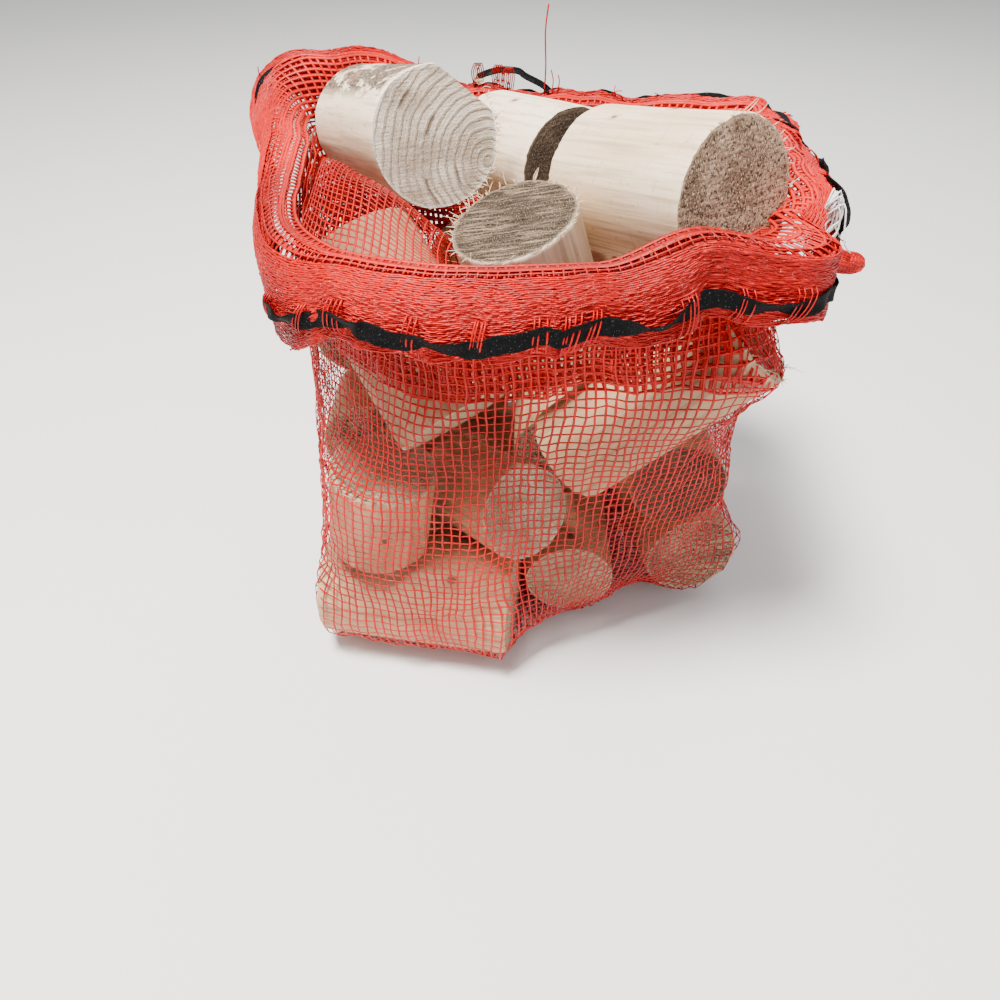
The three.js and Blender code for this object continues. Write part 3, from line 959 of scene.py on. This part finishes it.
# twists at these angles, each over some degrees
tapeTwists = [(203, 4, 0.9), (221, 5, 1.1), (236, 4, 0.8), (252, 6, 1.0), (292, 7, 1.1), (309, 5, 0.9),
              (330, 6, 1.2), (352, 6, 0.8), (28, 8, 0.9), (118, 8, 0.8), (160, 6, 0.7), (186, 6, 1.0)]
# where it runs behind the net for a little way
tapeHidden = [(229, 3.0), (300, 3.5), (319, 2.6), (16, 5)]


def tapePath(angles):
    run = mouthAt(angles)['tape'] + tape['sway'] * ripple(angles, 13, 9)
    # a deep dip and a rise in front
    run = run + 0.007 * bump(angles, 257, 7) - 0.005 * bump(angles, 303, 9)
    lift = tape['lift'] + 0.0010 * ripple(angles, 22, 11)
    # inside the left hem
    lift = lift - 0.0085 * np.interp(angles % 360, (140, 156, 203, 214), (0, 1, 1, 0))
    for middle, half in tapeHidden:
        lift = lift - 0.0052 * bump(angles, middle, half)
    path = cuffPoints(angles, [run], lift=lift)[0]
    above = cuffPoints(angles, [run - 0.004], lift=lift)[0]
    for count in range(16):              # a stiff tape has no sharp corners
        path = (np.roll(path, 1, 0) + path * 2 + np.roll(path, -1, 0)) / 4
        above = (np.roll(above, 1, 0) + above * 2 + np.roll(above, -1, 0)) / 4
    return path, above


def ribbon(path, upWays, wide, thick, closed=True):   # a flat band, its width along upWays
    if closed:
        ahead = np.roll(path, -1, 0) - np.roll(path, 1, 0)
    else:
        ahead = np.gradient(path, axis=0)
    ahead /= np.linalg.norm(ahead, axis=1)[:, None]
    face = np.cross(ahead, upWays)
    face /= np.linalg.norm(face, axis=1)[:, None]
    up = np.cross(face, ahead)
    shares = np.array((-0.5, -0.46, -0.25, 0.0, 0.25, 0.46, 0.5))
    crown = np.array((0.0, 0.5, 0.5, 0.5, 0.5, 0.5, 0.0))
    curl = np.array((0.0007, 0.0005, 0.0001, 0.0, 0.0001, 0.0005, 0.0007))
    wide = np.broadcast_to(wide, len(path))
    front = [path + up * (share * wide)[:, None] + face * (lift * thick + bent)
             for share, lift, bent in zip(shares, crown, curl)]
    back = [path + up * (share * wide)[:, None] + face * (bent - lift * thick)
            for share, lift, bent in zip(shares[-2:0:-1], crown[-2:0:-1], curl[-2:0:-1])]
    rings = np.stack(front + back, axis=1)
    count, corners = rings.shape[:2]
    index = np.arange(count * corners).reshape(count, corners)
    here = index if closed else index[:-1]
    there = np.roll(index, -1, 0) if closed else index[1:]
    quads = np.stack((here, there, np.roll(there, -1, 1), np.roll(here, -1, 1)), axis=-1).reshape(-1, 4)
    if not closed:
        caps = [[index[end, a], index[end, b], index[end, c], index[end, d]][::1 if end else -1]
                for end in (0, -1) for a, b, c, d in ((0, 1, 11, 11), (1, 2, 10, 11), (2, 3, 9, 10),
                                                     (3, 4, 8, 9), (4, 5, 7, 8), (5, 6, 6, 7))]
        quads = np.concatenate((quads, np.array(caps)))
    return rings.reshape(-1, 3), quads


def setWeave(piece, along, across):      # the weave's own coordinates, in metres
    layer = piece.data.attributes.new('weave', 'FLOAT_VECTOR', 'POINT')
    values = np.column_stack((along, across, np.zeros(len(along)))).astype(np.float32)
    layer.data.foreach_set('vector', values.ravel())


def blackTape():
    material, wires = startMaterial('blackTape')
    weave = wires.node('ShaderNodeAttribute', {'attribute_name': 'weave'}, out=1)
    along = weave.part(0) * 5200
    across = weave.part(1) * 5200
    ribs = (along + across * 0.5).sine() * across.sine()
    place = wires.node('ShaderNodeTexCoord', out=3)
    dust = place.speckle(520.0, 3.0)
    # painted glints: tiny grey spots mixed into the black
    paintedGlints = place.speckle(1300.0, 1.0)
    tint = dust.step(0.45, 0.72).blend((0.0012, 0.0012, 0.0016), (0.005, 0.005, 0.006))
    tint = (paintedGlints.step(0.69, 0.74) * 0.3).blend(tint, (0.30, 0.30, 0.32))
    endMaterial(wires, tint, dust * 0.2 + 0.6, ribs * 0.5 + dust, 0.4, 0.0005, Specular_IOR_Level=0.1)
    return material


tapeBlack = blackTape()
tapeAngles = evenFine(tape['points'])
path, above = tapePath(tapeAngles)
up = above - path
up /= np.linalg.norm(up, axis=1)[:, None]
ahead = np.roll(path, -1, 0) - np.roll(path, 1, 0)
ahead /= np.linalg.norm(ahead, axis=1)[:, None]
roll = 0.18 * ripple(tapeAngles, 15, 12)
for middle, half, amount in tapeTwists:
    roll = roll + amount * bump(tapeAngles, middle, half)
side = np.cross(ahead, up)
up = up * np.cos(roll)[:, None] + side * np.sin(roll)[:, None]
wide = tape['wide'] * (1 - 0.12 * ripple(tapeAngles, 30, 13)) * (1 - 0.4 * bump(tapeAngles, 90, 75))
ringed = ribbon(path, up, wide, tape['thick'])
tapePiece = pieceFrom('mouth_tape', [ringed], tapeBlack, ['drawstring_tape'])
runAlong = np.concatenate(([0], np.cumsum(np.linalg.norm(np.diff(path, axis=0), axis=1))))
setWeave(tapePiece, np.repeat(runAlong, 12), np.tile(np.array(
    (-0.5, -0.46, -0.25, 0.0, 0.25, 0.46, 0.5, 0.46, 0.25, 0.0, -0.25, -0.46)) * tape['wide'], len(path)))
print("tape made")

# red strands that cross the tape and hold it, in small groups
holders = {'groups': [214, 226, 233, 247, 259, 271, 277, 281, 297, 306, 313, 325, 338, 352, 6, 20], 'each': 4,
           'apart': 0.8}
crossing = []
for order, middle in enumerate(holders['groups']):
    for count in range(holders['each'] - order % 2):
        degrees = np.array([middle + (count - 1.5) * holders['apart'] + 0.12 * seeded.normal()])
        middleRun = mouthAt(degrees)['tape']
        tilt = 1.1 + 0.7 * math.sin(order * 2.1)
        steps = []
        for share in np.linspace(0, 1, 8):
            run = middleRun - 0.0105 + 0.021 * share
            lift = 0.0003 + 0.0042 * math.sin(math.pi * share) ** 0.5
            steps.append(cuffPoints(degrees - tilt * (share - 0.5), [run], lift=lift)[0, 0])
        crossing.append(steps)
crossing = np.array(crossing)
crossOut = crossing - np.array((sack['middle'][0], sack['middle'][1], 0.34))
crossOut[:, :, 2] *= 0.3
crossOut /= np.linalg.norm(crossOut, axis=2)[:, :, None]
pieceFrom('tape_holders', [tubesAlong(crossing, crossOut, 0.0012, 0.0008)], bandRed)

# net drawn over the log end inside the mouth
flap = {'columns': 23, 'rows': 29, 'peak': (-0.116, 0.369), 'back': 0.290, 'smooth': 9}


def drapedFlap():
    order = np.linspace(212, 252, flap['columns'])
    front = cuffPoints(order, [0.001], lift=-0.0022)[0]
    peakX, peakZ = flap['peak']
    rows = []
    for row in range(flap['rows']):
        share = row / (flap['rows'] - 1)
        line = front.copy()
        across = (line[:, 0] - peakX) / 0.058
        top = peakZ - 0.026 * across ** 2 - 0.004 * np.maximum(0, across)
        arch = (4 * share * (1 - share)) ** (0.75 if share < 0.5 else 0.95)
        base = line[:, 2] * (1 - share) + flap['back'] * share
        line[:, 2] = base + (top - base) * arch
        line[:, 1] += 0.128 * share ** 0.9 - 0.010 * across * share
        line[:, 0] = peakX + (line[:, 0] - peakX) * (1 - 0.10 * arch) + 0.004 * share
        rows.append(line)
    points = np.array(rows)
    points = points + (waves(points, 30, 12) * 0.0022)[:, :, None] * np.array((0.6, 0.4, 1.0))
    for step in range(flap['smooth']):
        inner = points[1:-1, 1:-1]
        around = points[:-2, 1:-1] + points[2:, 1:-1] + points[1:-1, :-2] + points[1:-1, 2:]
        inner += (around / 4 - inner) * 0.25
        points = offLogs(points, 0.0024)
    points[0] = front
    return points


draped = drapedFlap()
drapedOut = surfaceWays(draped, closed=False)[2]
pieceFrom('inner_net_flap', [
    tubesAlong(draped.transpose(1, 0, 2) + drapedOut.transpose(1, 0, 2) * 0.0003,
               drapedOut.transpose(1, 0, 2), 0.00135, 0.0006),
    tubesAlong(draped, drapedOut, 0.00125, 0.0006),
], bandRed)
print("inner flap draped")


def thread(places, wide, count=24):      # a thread through the given places
    places = np.array(places, dtype=float)
    steps = np.linspace(0, len(places) - 1, count)
    points = []
    for step in steps:
        low = min(int(step), len(places) - 2)
        share = step - low
        before, here = places[max(low - 1, 0)], places[low]
        there, after = places[low + 1], places[min(low + 2, len(places) - 1)]
        points.append(0.5 * (2 * here + (there - before) * share
                             + (2 * before - 5 * here + 4 * there - after) * share ** 2
                             + (3 * here - before - 3 * there + after) * share ** 3))
    points = np.array([points])
    face = np.broadcast_to(np.array((0.3, -0.8, 0.5)), points.shape)
    return tubesAlong(points, face, wide, wide)


# the frayed white sewing thread at the right corner of the mouth
whiteThreads = {'angle': 327.0, 'run': 0.046, 'count': 26, 'wide': 0.0011, 'fall': (0.014, 0.020)}
corner = cuffPoints(np.array([whiteThreads['angle']]), [whiteThreads['run']], lift=0.0045)[0, 0]
wisps = []
for count in range(whiteThreads['count']):
    top = corner + seeded.normal(0, 0.0016, 3) + np.array((-0.011, 0.000, 0.016))
    reachOut = 0.002 + 0.006 * seeded.random()
    fall = whiteThreads['fall'][0] + whiteThreads['fall'][1] * seeded.random()
    swing = seeded.normal(0, 0.006, 2)
    wisps.append(thread([top, top + (reachOut * 0.7, swing[0] * 0.6, 0.006),
                         top + (reachOut, swing[0], -fall * 0.35),
                         top + (reachOut * 0.6 + swing[1] * 0.5, swing[0] * 1.2, -fall * 0.7),
                         top + (reachOut * 0.9 + swing[1], swing[0], -fall)], whiteThreads['wide'], 14))
pieceFrom('loose_threads_white', wisps, plainThread('threadWhite', (0.82, 0.82, 0.80), (0.62, 0.61, 0.60)),
          ['seam_thread'])

# the gathered tab of net that sticks out beside it
tab = {'angle': 325.0, 'run': 0.046, 'long': 0.027, 'size': 0.0072}
tabStart = cuffPoints(np.array([tab['angle']]), [tab['run']], lift=0.001)[0, 0]
tabWay = np.array((0.93, -0.22, -0.12))
tabSide, tabUp = np.array((0.23, 0.97, 0.0)), np.array((0.12, 0.0, 0.99))
turns = np.linspace(0, 2 * math.pi, 26, endpoint=False)
tabRings = []
for share in np.linspace(0, 1, 15):
    size = tab['size'] * (1 - 0.25 * share) * math.sqrt(max(0.0, 1 - max(0, share - 0.7) ** 2 / 0.09))
    crumple = 1 + 0.10 * np.sin(turns * 5 + share * 9)
    across = tabSide * (np.cos(turns) * crumple)[:, None] * 0.62 + tabUp * (np.sin(turns) * crumple)[:, None]
    tabRings.append(tabStart + tabWay * tab['long'] * share + across * size)
tabRings = np.array(tabRings)
tabOut = surfaceWays(tabRings)[2]
pieceFrom('mouth_tab', [tubesAlong(tabRings.transpose(1, 0, 2), tabOut.transpose(1, 0, 2), 0.0019, 0.0008),
                        tubesAlong(tabRings[:-1], tabOut[:-1], 0.0020, 0.0008, closed=True)], bandRed)

# red threads that stand up at the back, and lone ones round the mouth
backTop = cuffPoints(np.array([84.0, 92.0, 96.0, 99.0, 104.0]), [0.043], lift=0.0)[0]
reds = [
    thread([backTop[0], backTop[0] + (0.0006, 0, 0.020), backTop[0] + (-0.0006, 0, 0.045),
            backTop[0] + (0.0012, -0.001, 0.064)], 0.0013),
    thread([backTop[0] + (0.006, 0, 0), backTop[0] + (0.007, 0, 0.010),
            backTop[0] + (0.005, 0, 0.018)], 0.0010),
    thread([backTop[0] + (0.010, 0, 0), backTop[0] + (0.012, 0, 0.008),
            backTop[0] + (0.011, 0, 0.014)], 0.0010),
]
for place in backTop[2:]:                # small loops that hold the standing tape
    for count in range(4):
        spot = place + (0.0016 * count, 0, 0)
        reds.append(thread([spot, spot + (-0.002, -0.001, 0.010), spot + (0.0012, -0.002, 0.017),
                            spot + (0.003, -0.001, 0.010), spot + (0.002, 0, 0)], 0.0009))
for degrees in np.concatenate((seeded.uniform(0, 360, 46), (118, 146, 352))):
    foot = cuffPoints(np.array([degrees]), [mouthAt(np.array([degrees]))['length']], lift=0.0)[0, 0]
    lean = seeded.normal(0, 0.0035, 3)
    reds.append(thread([foot, foot + lean * 0.6, foot + lean + seeded.normal(0, 0.0022, 3)], 0.0008, 8))
pieceFrom('loose_threads_red', reds, bandRed)

# the stretch of tape that stands free in an arch at the back
arch = np.array([backTop[4] + (0, 0.001, -0.006), backTop[4] + (0.001, 0.001, 0.006),
                 backTop[3] + (0.004, 0.001, 0.013), backTop[2] + (0.012, 0.001, 0.014),
                 backTop[1] + (0.006, 0.001, 0.012),
                 backTop[0] + (0.000, 0.001, 0.006), backTop[0] + (0.010, 0.001, -0.004)])
steps = np.linspace(0, 6, 60)
archPath = np.column_stack([np.interp(steps, np.arange(7), arch[:, axis]) for axis in range(3)])
for count in range(14):
    archPath[1:-1] = (archPath[:-2] + archPath[1:-1] * 2 + archPath[2:]) / 4
archWays = np.broadcast_to(np.array((0, 0.5, 0.86)), archPath.shape)
archPiece = pieceFrom('tape_arch', [ribbon(archPath, archWays, 0.0052, tape['thick'], closed=False)],
                      tapeBlack)
setWeave(archPiece, np.repeat(steps * 0.012, 12), np.tile(np.linspace(-0.003, 0.003, 12), len(archPath)))
print("loose ends made")
